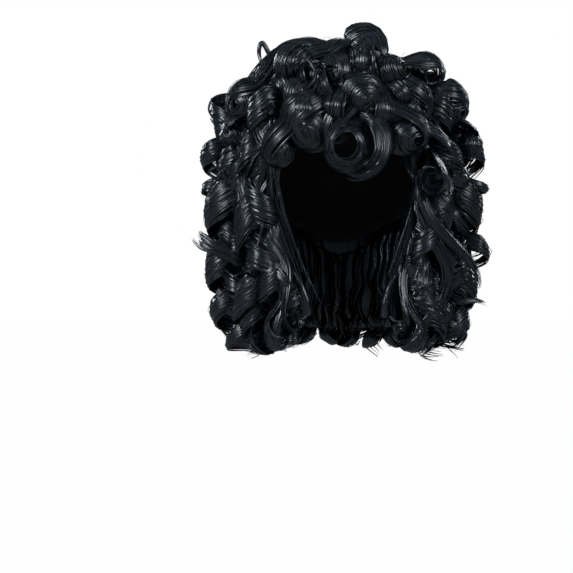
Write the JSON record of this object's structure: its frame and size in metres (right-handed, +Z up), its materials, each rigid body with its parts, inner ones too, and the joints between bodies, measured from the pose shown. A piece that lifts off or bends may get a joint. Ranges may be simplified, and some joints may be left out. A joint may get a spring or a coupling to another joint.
{
  "type": "long curly wig",
  "caption": "Long curly wig with a curled fringe: a net cap with sections of ringlets sewn round it, open at the face and below, worn over a head.",
  "frame": {"origin": "middle of the head that wears the wig, at eye level", "axes": "+Z up to the crown, -Y out of the face opening, +X to the right of a viewer who faces the wig"},
  "size_m": [0.2753, 0.27, 0.3261],
  "materials": {
    "hair": "glossy blue-black synthetic hair fibre",
    "cap_net": "matte black stretch net with weft rows"
  },
  "bodies": {
    "root": {"wig_cap": "cap_net", "crown_curls": "hair", "fringe_curls": "hair", "left_temple_curls": "hair", "left_side_curls": "hair", "left_back_curls": "hair", "nape_curls": "hair", "right_back_curls": "hair", "right_side_curls": "hair", "right_temple_curls": "hair"}
  },
  "joints": []
}
